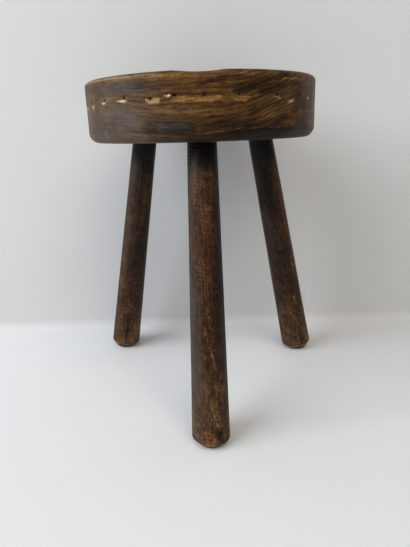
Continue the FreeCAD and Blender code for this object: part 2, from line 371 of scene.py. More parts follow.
def seat_finish():
    finish, tree, shader, place = new_finish("old_seat_wood")
    x, y, z = split(place)
    x = x - SEAT_MIDDLE.x / MM
    y = y - SEAT_MIDDLE.y / MM
    z = z - SEAT_UNDERSIDE / MM

    # The rings of the tree lie round a heart below the board, which bends up towards the right
    heart_below = 250.0
    heart_in_front = 60.0
    first_ring = 220.0
    rings_reach = 120.0
    ring_width = 4.2
    wander = cloud(join(x * 0.007, y * 0.018, z * 0.018), detail=1.0) * 16.0
    wobble = cloud(join(x * 0.03, y * 0.09, z * 0.09)) * 4.0
    to_right = x.work("MAXIMUM", 0.0)
    above_heart = z + heart_below - x * 0.08 - to_right * to_right * 0.0008
    behind_heart = y + heart_in_front
    ring = behind_heart * behind_heart + above_heart * above_heart
    ring = ring.work("SQRT") + wander + wobble

    # Broad bands, then streaks along the rings from coarse to fine, and the lines of single rings
    bands = Amount(ramp((ring - first_ring) / rings_reach,
                        (0.0, 0.44), (0.14, 0.54), (0.26, 0.42), (0.34, 0.48), (0.42, 0.36), (0.52, 0.42),
                        (0.60, 0.54), (0.72, 0.53), (0.80, 0.46), (0.86, 0.40), (0.91, 0.58), (1.0, 0.50)))
    streaks = cloud(join(x * 0.014, ring * 0.13, y * 0.05), roughness=0.55)
    flames = cloud(join(x * 0.035, ring * 0.40, y * 0.14), detail=3.0, roughness=0.65)
    fibre = cloud(join(x * 0.16, y * 1.1, z * 1.1), detail=3.0, roughness=0.75)
    turn = ring * (math.tau / ring_width) + wander * 0.4
    late = (turn.work("SINE") * 0.5 + 0.5) ** 3.0
    mottle = cloud(place, size=0.045, detail=4.0, roughness=0.65)
    at_ends = x.work("ABSOLUTE").between(102.0, 120.0)
    checks = cloud(join(y * 0.28, z * 0.010, x * 0.05), detail=3.0, roughness=0.7) * at_ends
    strength = 0.70 + cloud(place, size=0.012, detail=1.0) * 0.8
    strength = strength - x.between(20.0, 90.0) * 0.20 - x.between(-20.0, -95.0) * 0.35
    lines = late * (0.08 + x.between(10.0, 70.0) * x.between(120.0, 104.0) * (0.07 + flames * 0.55))
    tone = bands + streaks * 0.70 + flames * strength + fibre * 0.8 + mottle * 0.3
    tone = tone + x.between(10.0, 70.0) * 0.015 - lines
    tone = tone + checks * (x.between(-110.0, 110.0) * 0.45 + 0.45) + painted(tree, "tone")

    # Thin dark scribbles where the grain is crossed, low on the left
    curls = cloud(join(x * 0.09, y * 0.10, z * 0.10 + y * 0.06), detail=3.0, roughness=0.6, distortion=0.5)
    curls = curls.work("ABSOLUTE").between(0.075, 0.01)
    crossed = x.between(-90.0, -100.0) * x.between(-134.0, -126.0)
    crossed = crossed * z.between(36.0, 30.0) * z.between(13.0, 19.0)
    colour = ramp(tone, (0.0, (0.004, 0.002, 0.001)), (0.18, (0.014, 0.006, 0.0025)),
                  (0.38, (0.042, 0.0175, 0.005)), (0.56, (0.090, 0.041, 0.0095)),
                  (0.76, (0.176, 0.093, 0.025)), (1.0, (0.32, 0.190, 0.070)))

    # A grey film of old wax and dust lies in patches, and with it a painted sheen: grey painted reflection of
    # the cool light on the left of the rim, cooler where it is thickest
    hatch = cloud(join(x * 0.035, y * 0.12, z * 0.38 + x * 0.03), detail=3.0, roughness=0.7)
    film_and_sheen = painted(tree, "film_and_sheen") + streaks * 0.4 + flames * 0.3 + mottle * 0.6 + hatch * 0.35
    film_and_sheen_colour = coloured(film_and_sheen.between(0.60, 0.95), (0.087, 0.065, 0.0475), (0.064, 0.056, 0.0565))
    film_and_sheen_colour = coloured(hatch.between(-0.2, 0.2), film_and_sheen_colour, (1.6, 1.58, 1.55), blend="MULTIPLY")
    film_and_sheen = film_and_sheen.between(0.05, 1.0)

    # The edges are rubbed pale and painted lighter still as highlights where they catch the light, and the
    # scrapes at the tack holes show bare wood with torn fibres, with a painted highlight on their lower lips
    torn = cloud(join(x * 0.11, z * 0.75, y * 0.11), detail=3.0, roughness=0.75)
    rubbed_and_lit = painted(tree, "rubbed_and_lit") + streaks * 0.9 + flames * 0.8 + fibre * 0.5
    rubbed_and_lit = rubbed_and_lit.between(0.42, 0.80)
    colour = coloured(rubbed_and_lit * 0.85, colour, (0.262, 0.180, 0.110))
    bare = painted(tree, "bare") + torn * 0.5
    bare = bare.between(0.20, 0.58)
    bare_wood = ramp(painted(tree, "paleness") + torn * 0.5 + fibre * 0.4,
                     (0.0, (0.05, 0.022, 0.006)), (0.35, (0.13, 0.062, 0.016)), (0.62, (0.27, 0.145, 0.046)),
                     (0.82, (0.46, 0.335, 0.20)), (1.0, (0.71, 0.60, 0.47)))
    colour = coloured(bare, colour, bare_wood)
    # Lays the grey film and the painted sheen over the wood
    colour = coloured(film_and_sheen * (0.72 - bare * 0.35), colour, film_and_sheen_colour)
    colour = coloured(curls * crossed * 0.50, colour, (0.024, 0.016, 0.011))

    # Painted shade: the ends of the rim, below the top edge, are painted warmer and darker, to take down the
    # reflection they catch at a grazing angle
    shaded_ends = (x.between(100.0, 116.0) * 0.9 + x.between(-118.0, -134.0) * 0.5) * z.between(71.0, 65.0)
    colour = coloured(shaded_ends, colour, (1.06, 0.90, 0.66), blend="MULTIPLY")

    # Dirt has gathered round the tenons
    for side in LEGS:
        tenon = (leg_axis(side, SEAT_TOP) - SEAT_MIDDLE) / MM
        nearness = (x - tenon.x) * (x - tenon.x) + (y - tenon.y) * (y - tenon.y)
        nearness = nearness.work("SQRT") + mottle * 2.0
        dirt = nearness.between(21.0, 18.0) * z.between(40.0, 60.0)
        colour = coloured(dirt * 0.5, colour, (0.014, 0.009, 0.006))

    roughness = 0.44 + mottle * 0.2 + fibre * 0.14 + film_and_sheen * 0.04 + bare * 0.3 + rubbed_and_lit * 0.05
    relief = streaks * 0.4 + flames * 0.5 - late * 0.15 + fibre * 0.5 + mottle * 1.4 + torn * bare * 1.6
    finish_off(shader, colour, roughness, relief, 0.55, 0.6 * MM)
    return finish


def hole_finish():
    """The dark inside of a tack hole."""
    finish, _, shader, place = new_finish("tack_hole_wood", gloss=0.1)
    speckle = cloud(place, size=1.5)
    colour = ramp(speckle + 0.5, (0.2, (0.008, 0.005, 0.004)), (0.8, (0.03, 0.018, 0.010)))
    finish_off(shader, colour, 0.85 + speckle * 0.2, speckle, 0.5, 0.2 * MM)
    return finish


TACK_HOLE_DEPTH = 9 * MM
TACK_LINE = SEAT_TOP - 25 * MM
PIN_LENGTH = 12 * MM


def turn_of(out):
    """The direction of an offset seen from above, turned to the right from the front."""
    return math.atan2(out.x, -out.y)


def tack_places():
    """Where the tack holes end in the solid seat, inside its rim: their direction, and their height."""
    roundness = 0.25 * MM
    off_line = 5 * MM
    one_hole = math.radians(3)
    ends = []
    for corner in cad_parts["seat"].data.vertices:
        out = corner.co.to_2d() - SEAT_MIDDLE
        off_end = abs(out.length - (SEAT_RADIUS - TACK_HOLE_DEPTH))
        if off_end < roundness and abs(corner.co.z - TACK_LINE) < off_line:
            ends.append((turn_of(out), corner.co.z))
    ends.sort()
    holes = [[ends[0]]]
    for end in ends[1:]:
        if end[0] - holes[-1][-1][0] > one_hole:
            holes.append([])
        holes[-1].append(end)
    return [tuple(sum(values) / len(values) for values in zip(*hole)) for hole in holes]


def tack_tree():
    """Sets a tapered pin in at each point, aimed at the seat's axis, wider and a little torn at its mouth."""
    sizes = {"Mouth": 1.75 * MM, "End": 1.1 * MM, "Length": PIN_LENGTH}
    tree, given = new_tree("tack pins", "Points", sizes, "Pins")
    pin = put(tree, "GeometryNodeMeshCone", {
        "Vertices": 12, "Radius Top": given["Mouth"], "Radius Bottom": given["End"],
        "Depth": given["Length"]})
    x, y, _ = split(put(tree, "GeometryNodeInputPosition").outputs[0])
    outwards = join(x - SEAT_MIDDLE.x, y - SEAT_MIDDLE.y, 0)
    aim = put(tree, "FunctionNodeAlignRotationToVector", {"Vector": outwards}, axis="Z")
    torn = put(tree, "FunctionNodeRandomValue", {
        "Min": (0.85, 0.85, 1.0), "Max": (1.2, 1.35, 1.0), "Seed": 3}, data_type="FLOAT_VECTOR")
    pins = put(tree, "GeometryNodeInstanceOnPoints", {
        "Points": given["Points"], "Instance": pin.outputs[0], "Rotation": aim.outputs[0],
        "Scale": torn.outputs[0]})
    end_tree(tree, pins, given["Finish"])
    return tree


TACKS = tack_places()
# Past this far round the rim, in mm, the marks are drawn by chance
FRONT_REACH = 172
# How far past its ends, in mm, a mark is looked for
MARK_MARGIN = 8

# Scrapes along the front of the rim: from and to in mm round it from the middle of the front, the height at
# each end in mm over the underside, half the width, and how pale the wood is
SCRAPES = [
    (-190, -176, 42.4, 41, 1.8, 0.95), (-157, -158.5, 45, 39, 1.4, 0.84), (-151, -153, 44, 38, 1.5, 0.88),
    (-158, -149, 43.6, 43, 1.2, 0.86), (-130, -120, 45.4, 44.6, 1.5, 0.76), (-127, -121, 45, 44.7, 1.2, 1.02),
    (-124.8, -125.2, 43.5, 40.5, 0.7, 0.55), (-101, -84, 45.6, 45.2, 0.9, 0.82),
    (-95, -86.5, 45.1, 45.5, 1.5, 1.02), (-60.5, -55, 45.2, 42.6, 1.3, 0.78),
    (-59, -43.5, 42.6, 42.4, 1.3, 0.75), (-52, -43, 45, 45, 1.6, 0.78), (-56, -43.5, 43.6, 43.8, 1.6, 0.66),
    (-40, -31, 48.1, 47.5, 0.9, 0.8), (-35.5, -31.5, 47.8, 47.4, 0.9, 1.05),
    (-33.2, -33.4, 50, 46.6, 0.6, 0.7), (-31, -15, 43.8, 42.2, 1.4, 0.56), (-26, -3, 46.6, 44.2, 0.8, 0.62),
    (-20, 22, 44.4, 44.6, 1.7, 0.51), (-8, 17, 42.7, 43, 1.6, 0.57), (-5, 13, 41.7, 41.8, 0.7, 0.7),
    (13, 22, 44.9, 45.6, 0.8, 0.68), (31, 54, 44.2, 44.2, 1.5, 0.44), (35, 51, 42.4, 42.2, 1.7, 0.45),
    (41, 50, 44.8, 44.6, 0.8, 0.66), (49, 54, 44.6, 44.9, 0.8, 0.62), (46, 48.5, 41, 40, 0.9, 0.54),
    (80.5, 90, 45.4, 44.4, 0.7, 0.5), (86, 96, 44.9, 42.7, 0.9, 0.66), (105, 118, 38.4, 42.4, 1.7, 0.62),
    (108, 114, 39.3, 41.3, 1.3, 0.92), (150.5, 152.5, 46.4, 42.6, 2.4, 0.9),
]
# Strokes of lighter or darker grain on the front, and painted highlights: the thin light strokes along the
# top edge, at 66 to
# 68.5 mm, and along the arris low on the bottom round, at 8 to 14 mm. From and to, the height at each end,
# half the width, and how much lighter
STROKES = [
    (38, 102, 50, 66.5, 4, -0.26), (66, 124, 49, 60, 2.8, -0.26), (78, 100, 58.5, 62.5, 0.9, 0.36),
    (98, 124, 62.8, 64.5, 1.1, 0.34), (84, 122, 52.5, 55.5, 1.6, 0.12), (50, 97, 26, 42, 1.3, -0.22),
    (58, 88, 21, 31, 0.9, -0.22), (62, 112, 24, 31, 5.5, 0.18), (66, 116, 33, 38, 4, 0.1),
    (50, 92, 16, 20, 3.5, -0.12), (96, 124, 23, 22, 1.4, -0.2), (104, 106, 17, 9, 1.6, 0.14),
    (4, 48, 30, 29, 4, 0.08), (4, 50, 17.5, 17, 4.5, -0.15), (0, 26, 56, 64, 1.8, -0.22),
    (26, 58, 66.5, 68.5, 1.4, 0.18), (-16, 8, 9.6, 9.4, 0.9, 0.3), (8, 40, 9.4, 13, 0.8, 0.3),
    (40, 90, 13.2, 14, 0.8, 0.14), (-140, -118, 20, 20, 5, 0.12), (-20, 22, 48.6, 48.4, 1, -0.12),
    (-12, 24, 39.4, 39.2, 1, -0.12), (2, 60, 34.5, 35.5, 3, -0.1), (140, 140, 34, 14, 9, -0.1),
    (124, 150, 14, 14, 6, -0.1), (-114, -82, 59, 58, 5, -0.22), (-78, -38, 59, 58, 4.2, -0.14),
    (-112, -62, 66, 67.8, 1.2, 0.24), (-135, -85, 48.6, 48.8, 2.4, 0.14), (-62, -20, 68, 67, 1.6, 0.14),
    (-62, 0, 14, 14, 6, -0.1), (-40, 0, 54, 53, 3, 0.1), (-87, -62, 43, 39, 0.8, 0.22),
    (-40, -10, 16.5, 15.5, 5, -0.46), (-56, -14, 4.5, 4.5, 3, -0.16), (-64, -50, 18, 17, 4.5, -0.24),
    (64, 108, 13.5, 15.5, 1.6, -0.16), (-118, -104, 31, 34.5, 0.8, 0.08), (-104, -86, 34.5, 31, 0.8, 0.12),
    (-154, -153, 18, 7, 0.9, -0.55), (-147, -146, 17, 7, 0.9, -0.55), (-140, -139, 16, 6, 0.9, -0.5),
    (-133, -132, 16, 6, 0.8, -0.45), (-127, -126.5, 15, 8, 0.8, -0.35), (-120.5, -120, 15, 8, 0.8, -0.4),
    (-123, -122, 15, 8, 1.3, 0.55), (-150.5, -149.5, 17, 8, 0.8, 0.16), (-143.5, -142.5, 17, 8, 0.8, 0.18),
    (-136.5, -135.5, 16, 8, 0.8, 0.16), (-118, -117, 14, 9, 0.8, 0.2), (-96, -62, 9, 8, 1.1, 0.22),
    (-87, -86, 56, 50, 0.7, 0.16), (-52, -4, 66, 66, 2.6, 0.14), (-30, 30, 35, 34, 3, -0.1),
    (125, 125, 64, 12, 1, -0.14), (165.6, 165.6, 47.9, 45.9, 1.3, -0.6),
    (-154.5, -154.5, 47.3, 45.5, 1.1, -0.5), (131, 131, 62, 12, 3, -0.14), (138, 138, 62, 12, 0.9, -0.12),
    (128.5, 128.5, 60, 14, 0.8, 0.1), (154, 154, 62, 12, 1.8, -0.16), (163, 163, 64, 10, 2.4, -0.1),
    (-176, -176, 66, 8, 2.4, -0.14), (-168, -168, 66, 48, 5, -0.16), (-190, -160, 6, 6, 5, 0.14),
    (-60, 20, 52, 53, 2.6, 0.08), (24, 64, 36, 44, 1, -0.14), (-12, 30, 24.5, 25.5, 0.9, -0.14),
    (-76, -46, 30, 26.5, 1, -0.12), (-72, -30, 34, 33, 0.9, 0.12), (10, 60, 58, 60, 1, 0.1),
    (44, 84, 66.5, 68, 1.6, 0.16), (132, 152, 14, 14, 2.5, -0.14),
]
# Patches of grey film and painted sheen: the place and height of the middle, half the length and height,
# rise, and how much
FILMS_AND_SHEEN = [
    (-150, 34, 104, 70, 0, 0.52), (-96, 59, 30, 6, -0.04, 0.42), (-96, 19, 34, 9, 0, 0.42),
    (-92, 33, 34, 7, 0, 0.34), (85, 34, 70, 36, 0, -0.4), (-28, 18, 22, 7, 0, 0.26),
    (-38, 31, 28, 9, 0, 0.16), (-180, 36, 24, 60, 0, -0.24),
]


def round_the_rim(place):
    """A point's way round the rim from the middle of the front, and its height over the underside, in mm."""
    out = place.to_2d() - SEAT_MIDDLE
    return turn_of(out) * SEAT_RADIUS / MM, (place.z - SEAT_UNDERSIDE) / MM


def ease(amount, start, end):
    """0 at the start and 1 at the end, in a straight line."""
    return min(1.0, max(0.0, (amount - start) / (end - start)))


def peak(amount, middle, half):
    """1 in the middle and 0 at half the width from it, in straight lines."""
    return max(0.0, 1 - abs(amount - middle) / half)


def right_part(along):
    """1 on the right half of the rim and 0 on the left, with soft ends."""
    return ease(along, -20, 40) * ease(along, 230, 180)


def film_and_sheen_at(along, height):
    """The sum of the patches of grey film and painted sheen at a place on the rim."""
    total = 0.0
    for middle, level, half_length, half_height, rise, much in FILMS_AND_SHEEN:
        sideways = (along - middle) / half_length
        if abs(sideways) < 1.6:
            upwards = (height - level - rise * (along - middle)) / half_height
            total += much * math.exp(-abs(sideways) ** 3 - upwards ** 2)
    return total


def off_line(along, height, start, end, level, last_level):
    """How far a place on the rim is across from a line on it, and how far past its nearer end."""
    length = math.hypot(end - start, last_level - level)
    way = ((end - start) / length, (last_level - level) / length)
    onwards = (along - start) * way[0] + (height - level) * way[1]
    across = (height - level) * way[0] - (along - start) * way[1]
    return across, abs(onwards - length / 2) - length / 2


def stroked(along, height):
    """The sum of the strokes of lighter and darker grain, and of painted highlights along the edges, at a
    place on the rim.
    """
    fade = 3.0
    total = 0.0
    for start, end, level, last_level, half_width, much in STROKES:
        if min(start, end) - MARK_MARGIN < along < max(start, end) + MARK_MARGIN:
            across, past = off_line(along, height, start, end, level, last_level)
            total += much * math.exp(-((across / half_width) ** 2) - (max(0.0, past) / fade) ** 2)
    return total


def scraped(along, height):
    """How deep into a scrape a place on the rim is, up to 1, and how pale the wood is there.

    A scrape is widest in its middle and runs out to a point at both ends. Its lower lip is painted palest, as
    a highlight where it faces up to the light, and its upper part darker, as painted shade."""
    deepest = 0.0
    palest = 0.0
    for start, end, level, last_level, half_width, paleness in SCRAPES:
        if min(start, end) - MARK_MARGIN < along < max(start, end) + MARK_MARGIN:
            across, past = off_line(along, height, start, end, level, last_level)
            taper = min(4.0, math.hypot(end - start, last_level - level) / 2)
            depth = 1.0 - 0.6 * (across / (half_width + 0.3)) ** 2 - 0.6 * max(0.0, 1.0 + past / taper) ** 2
            deepest = max(deepest, depth)
            # The lower lip is painted paler as a highlight
            lit_lower_lip = ease(across, half_width, -half_width)
            palest = max(palest, paleness * ease(depth, -0.3, 0.6) * (0.72 + 0.34 * lit_lower_lip))
    return deepest, palest


chance = random.Random(11)
for angle, level in TACKS:
    hole = angle * SEAT_RADIUS / MM
    if abs(hole) > FRONT_REACH:
        middle = hole + chance.uniform(-6, 6)
        half = chance.choice((1.5, 2.5, 4, 6, 9, 13))
        heights = [(level - SEAT_UNDERSIDE) / MM - chance.uniform(-1.0, 5.0) for _ in range(2)]
        paleness = chance.uniform(0.40, 0.75)
        SCRAPES.append((middle - half, middle + half, *heights, chance.uniform(1.0, 2.3), paleness))
        SCRAPES.append((middle - half * 0.5, middle + half * 0.6, *heights, 1.1, paleness + 0.15))
        for _ in range(2):
            reach = chance.uniform(15, 45)
            start = chance.uniform(8, 64)
            STROKES.append((hole - reach, hole + reach, start, start + chance.uniform(-3, 6),
                            chance.uniform(0.9, 4.0), chance.uniform(-0.28, 0.24)))
        FILMS_AND_SHEEN.append((hole, chance.uniform(8, 64), chance.uniform(20, 45), chance.uniform(8, 20),
                      0.0, chance.uniform(0.0, 0.6)))

edge_low = Vector((SEAT_RADIUS - BOTTOM_EDGE_ROUND, SEAT_UNDERSIDE + BOTTOM_EDGE_ROUND))
edge_high = Vector((SEAT_RADIUS - TOP_EDGE_ROUND, SEAT_TOP - TOP_EDGE_ROUND))
outline = [
    *steps((0, SEAT_UNDERSIDE), (edge_low.x, SEAT_UNDERSIDE), 10),
    *arc(edge_low, BOTTOM_EDGE_ROUND, -90, 0, 12),
    *steps((SEAT_RADIUS, edge_low.y), (SEAT_RADIUS, edge_high.y), 56)[1:],
    *arc(edge_high, TOP_EDGE_ROUND, 0, 90, 6),
    *steps((edge_high.x, SEAT_TOP), (0, SEAT_TOP), 26)[1:],
    (0, SEAT_TOP),
]
SEAT_WOOD = seat_finish()
seat = turn_piece("seat_board", outline, SEAT_WOOD, **{
    "Places round": SEAT_PLACES_ROUND, "Unevenness": SEAT_UNEVENNESS, "Bump length": SEAT_BUMP_LENGTH,
    "Bump width": SEAT_BUMP_LENGTH, "Seed": 4.0, "Dip depth": DIP_DEPTH})

# The scrapes are shallow dishes, and the bottom round has a faint arris on its right
SCRAPE_DEPTH = 0.7 * MM
for corner in seat.data.vertices:
    out = corner.co.to_2d() - SEAT_MIDDLE
    if out.length > SEAT_RADIUS - BOTTOM_EDGE_ROUND - 2 * MM:
        along, height = round_the_rim(corner.co)
        depth, _ = scraped(along, height)
        ragged = noise.noise(Vector((along * 0.25, height * 0.7, 0.0)))
        inwards = SCRAPE_DEPTH * max(0.0, depth) * (0.8 + 0.5 * ragged)
        inwards -= right_part(along) * (peak(height, 11.0, 3.0) * 0.5 - peak(height, 5.0, 4.5) * 0.9) * MM
        corner.co.xy -= out.normalized() * inwards

# How far the blanks of the mortises stand out of the board at both ends
OVERRUN = 20 * MM
mortises = bmesh.new()
for reach, azimuth, _ in LEGS.values():
    width = LEG_TOP_RADIUS + MORTISE_CLEARANCE
    bottom, top = SEAT_UNDERSIDE - OVERRUN, SEAT_TOP + OVERRUN
    blank = turn_piece("mortise", [(0, bottom), (width, bottom), (width, top), (0, top)], SEAT_WOOD,
                       Reach=reach, Splay=math.radians(LEG_SPLAY), Azimuth=math.radians(azimuth))
    mortises.from_mesh(blank.data)
    bpy.data.objects.remove(blank)
blank_mesh = bpy.data.meshes.new("mortises")
mortises.to_mesh(blank_mesh)
mortises.free()
blank_mesh.materials.append(SEAT_WOOD)
cut(seat, in_scene("mortises", blank_mesh))

tack_mesh = bpy.data.meshes.new("tacks")
pin_reach = SEAT_RADIUS - TACK_HOLE_DEPTH + PIN_LENGTH / 2
tack_mesh.from_pydata([
    (SEAT_MIDDLE.x + math.sin(angle) * pin_reach, SEAT_MIDDLE.y - math.cos(angle) * pin_reach, level)
    for angle, level in TACKS], [], [])
cut(seat, shape_by(tack_tree(), in_scene("tacks", tack_mesh), Finish=hole_finish()))
close_up(seat)


def put_on(piece, paint):
    """Stores the values of each paint on the piece's corners."""
    for name, values in paint.items():
        piece.data.attributes.new(name, "FLOAT", "POINT").data.foreach_set("value", values)


# How far out from the seat's axis, in mm, its paint starts, has its full strength, and may hold scrapes
PAINT_FROM = 128
PAINT_FULL = 142
SCRAPED_FROM = 147
# How high over the underside, in mm, the top edge is rubbed and painted with a highlight
RUBBED_AND_LIT_HEIGHT = 70.4
paint = {name: [] for name in ("tone", "film_and_sheen", "rubbed_and_lit", "bare", "paleness")}
for corner in seat.data.vertices:
    out = (corner.co.to_2d() - SEAT_MIDDLE).length / MM
    if out < PAINT_FROM:
        for values in paint.values():
            values.append(0.0)
        continue
    along, height = round_the_rim(corner.co)
    on_side = ease(out, PAINT_FROM, PAINT_FULL)
    sway = Vector((along * 0.05, height * 0.12, 3.0))
    grain_along = along + noise.noise(sway) * 4.0
    grain_height = height + noise.noise(sway * 1.7) * 1.3
    rough = noise.noise(Vector((along * 0.3, height * 0.7, 9.0)))
    rougher = noise.noise(Vector((along * 0.5, height * 0.3, 2.0)))
    depth, pale = 0.0, 0.0
    # The scrapes' paleness carries the painted highlight on their lower lips
    if out > SCRAPED_FROM:
        depth, pale = scraped(along + rough * 1.8, height + rougher * 0.9)
    left = ease(along, -20, -60) * ease(along, -200, -150)
    arris_height = 9.5 + 3.3 * ease(along, 8, 48) + 1.5 * left
    arris_height += noise.noise(Vector((along * 0.06, 0, 5))) * 0.8
    # The arris over the bottom round is a thin painted highlight line
    arris_highlight = math.exp(-((height - arris_height) / 1.1) ** 2)
    # The bottom round under the arris: painted lighter, with sheen, on the left, and darker as painted shade
    # on the right, where it faces down away from the light
    round_shading = ease(height, arris_height + 0.2, arris_height - 1.0)
    # The top edge is rubbed pale and painted as a highlight, strongest on the left, where the light comes
    # from
    top_edge = math.exp(-((height - RUBBED_AND_LIT_HEIGHT + 1.5 * left) / (1.8 - 0.3 * left)) ** 2)
    tone = stroked(grain_along, grain_height) + round_shading * (0.10 * left - 0.33 * right_part(along))
    paint["tone"].append(tone * on_side)
    paint["film_and_sheen"].append((film_and_sheen_at(along, height) + round_shading * 0.3 * left) * on_side)
    arris_highlight *= 0.48 + 0.08 * left - 0.22 * ease(along, 60, 110)
    paint["rubbed_and_lit"].append((top_edge * (0.46 + 0.52 * left) + arris_highlight) * on_side)
    paint["bare"].append(depth)
    paint["paleness"].append(pale + rough * 0.2)
put_on(seat, paint)

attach(seat, "root")
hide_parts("seat")

# Legs
# Three round legs of the same old hardwood, shaved by hand from the foot up to a round tenon that goes
# through the seat. Each tenon is slit across the seat's grain and spread by a wedge. The feet are cut level
# and worn round.
LEG_UNEVENNESS = 0.4 * MM
LEG_BUMP_LENGTH = 70 * MM
LEG_BUMP_WIDTH = 9 * MM
LEG_EVEN_ABOVE = SEAT_UNDERSIDE - 8 * MM
LEG_PLACES_ROUND = 120
TENON_PROUD = 0.4 * MM
TENON_EDGE = 0.3 * MM
WEDGE_HEAD = 5 * MM
WEDGE_TIP = 1.2 * MM
WEDGE_DEPTH = 45 * MM
SLIT_GAP = 0.06 * MM
SLIT_OVERRUN = 8 * MM
SLIT_HALF_LENGTH = 26 * MM
# About how many mm round a leg a degree of turn is
TURN_MM = 0.36
# The seed of each leg's grain, the turn of its heart in degrees, and how light the wood is
LEG_LOOKS = {
    "front": (1.0, 200.0, 0.02),
    "rear_right": (5.0, 60.0, -0.03),
    "rear_left": (9.0, 310.0, -0.02),
}
# The worn bevel round each foot: its width and height in mm, how much more of each on its deepest side, and
# that side's turn in degrees to the right from the front
FOOT_BEVELS = {
    "front": (8.0, 7.5, 1.5, 1.5, -50.0),
    "rear_right": (8.0, 9.0, 1.5, 4.0, 80.0),
    "rear_left": (8.0, 9.5, 2.0, 4.0, -80.0),
}
# Stains on each leg, among them painted shade, painted highlights and painted sheen: turn in degrees to the
# right from the front, height, half the turn, half the height, how much lighter, how much more golden, and
# how much grey film and sheen
STAINS_AND_PAINTED_LIGHT = {
    "front": [
        # On this leg the dark patch on the right, at 66 degrees, is painted shade; the grey patch at -35
        # degrees and 326 mm is a painted highlight of the cool light; the golden patches at 285 and 205 mm
        # are golden wood with a painted highlight of the warm light; the grey patches on the left are film
        # with painted sheen
        (5, 285, 55, 45, 0.1, 0.45, 0), (0, 205, 22, 45, 0.06, 0.5, 0), (-45, 180, 16, 18, -0.1, 0, 0.4),
        (66, 230, 24, 130, -0.42, 0, 0), (20, 50, 40, 40, 0.07, 0.4, 0), (-42, 70, 26, 60, 0.02, 0, 0.4),
        (-35, 326, 16, 13, 0.05, 0, 0.6), (-40, 120, 22, 50, -0.06, 0, 0.25),
        (28, 150, 16, 60, -0.08, 0.2, 0), (-50, 255, 22, 60, 0.04, 0, 0.14), (30, 14, 12, 14, -0.24, 0, 0),
        (0, 14, 40, 9, 0.16, 0.8, 0), (-58, 150, 22, 80, -0.02, 0, 0.22),
    ],
    "rear_right": [
        # The dark patches high on the left of this leg are painted shade, where the front leg and the seat
        # keep off the cool light
        (-25, 290, 40, 60, -0.18, 0, 0), (-36, 210, 26, 50, -0.1, 0, 0.3), (38, 265, 22, 75, 0.14, 0.5, 0),
        (20, 100, 7, 6, 0.26, 0.2, 0), (5, 55, 20, 20, 0.14, 0.4, 0), (-34, 60, 20, 70, 0.04, 0, 0.15),
        (40, 160, 16, 14, 0.18, 0.5, 0), (-10, 130, 30, 26, -0.06, 0, 0), (10, 12, 50, 9, 0.12, 0.5, 0),
        (48, 30, 20, 30, 0.17, 0, 0.1),
    ],
    "rear_left": [
        # The dark patches on the right of this leg, high up and at 190 mm, are painted shade on the side away
        # from the light
        (35, 330, 45, 26, -0.28, 0, 0), (-2, 235, 9, 55, -0.22, 0, 0.4), (28, 268, 9, 38, 0.16, 0.7, 0),
        (-40, 235, 24, 125, 0.1, 0, 0.2), (-36, 134, 15, 13, 0.14, 0.4, 0), (40, 190, 22, 60, -0.1, 0, 0.1),
        (-28, 320, 25, 22, -0.04, 0, 0.3), (0, 16, 52, 11, 0.18, 0.8, 0), (-30, 60, 20, 30, 0.08, 0.1, 0),
        (50, 35, 22, 40, 0.26, 0, 0.12),
    ],
}
# Scratches and cracks: from and to, in turn and in height, half the width in mm, and how much lighter
SCRATCHES = {
    "front": [
        (3, 10, 126, 116, 0.6, 0.42), (10, 22, 119, 99, 0.5, 0.45), (6, 13, 121, 121, 0.7, 0.45),
        (-12, -8, 150, 140, 0.8, 0.32), (-26, -22, 158, 152, 0.9, 0.26), (-14, -8, 112, 114, 0.8, 0.3),
        (2, 22, 56, 30, 0.5, 0.34), (20, 44, 50, 14, 0.5, 0.28), (-22, -12, 79, 78, 0.9, 0.24),
        (18, 26, 34, 30, 0.7, 0.3), (24, 40, 24, 4, 0.9, -0.5), (36, 30, 34, 16, 0.8, -0.4),
        (-4, 4, 174, 160, 0.6, 0.24), (60, 74, 196, 193, 0.6, -0.5),
    ],
    "rear_right": [
        (-30, -38, 42, 20, 0.7, 0.3), (-22, -18, 62, 56, 0.8, 0.3), (14, 24, 104, 98, 0.9, 0.3),
        (-4, 8, 70, 62, 0.8, 0.2), (8, 18, 46, 40, 0.8, 0.24), (30, 33, 92, 86, 0.7, 0.24),
        (0, 6, 34, 22, 0.8, 0.22), (-18, -8, 146, 138, 0.8, 0.22),
    ],
    "rear_left": [
        (8, 5, 52, 3, 0.7, -0.6), (-36, -33, 178, 150, 0.8, 0.3), (-43, -40, 176, 156, 0.7, 0.22),
        (-28, -24, 68, 62, 1.5, 0.3), (2, 10, 97, 93, 0.8, 0.28), (-22, -12, 54, 38, 0.7, 0.2),
        (20, 30, 84, 80, 0.7, 0.2),
    ],
}


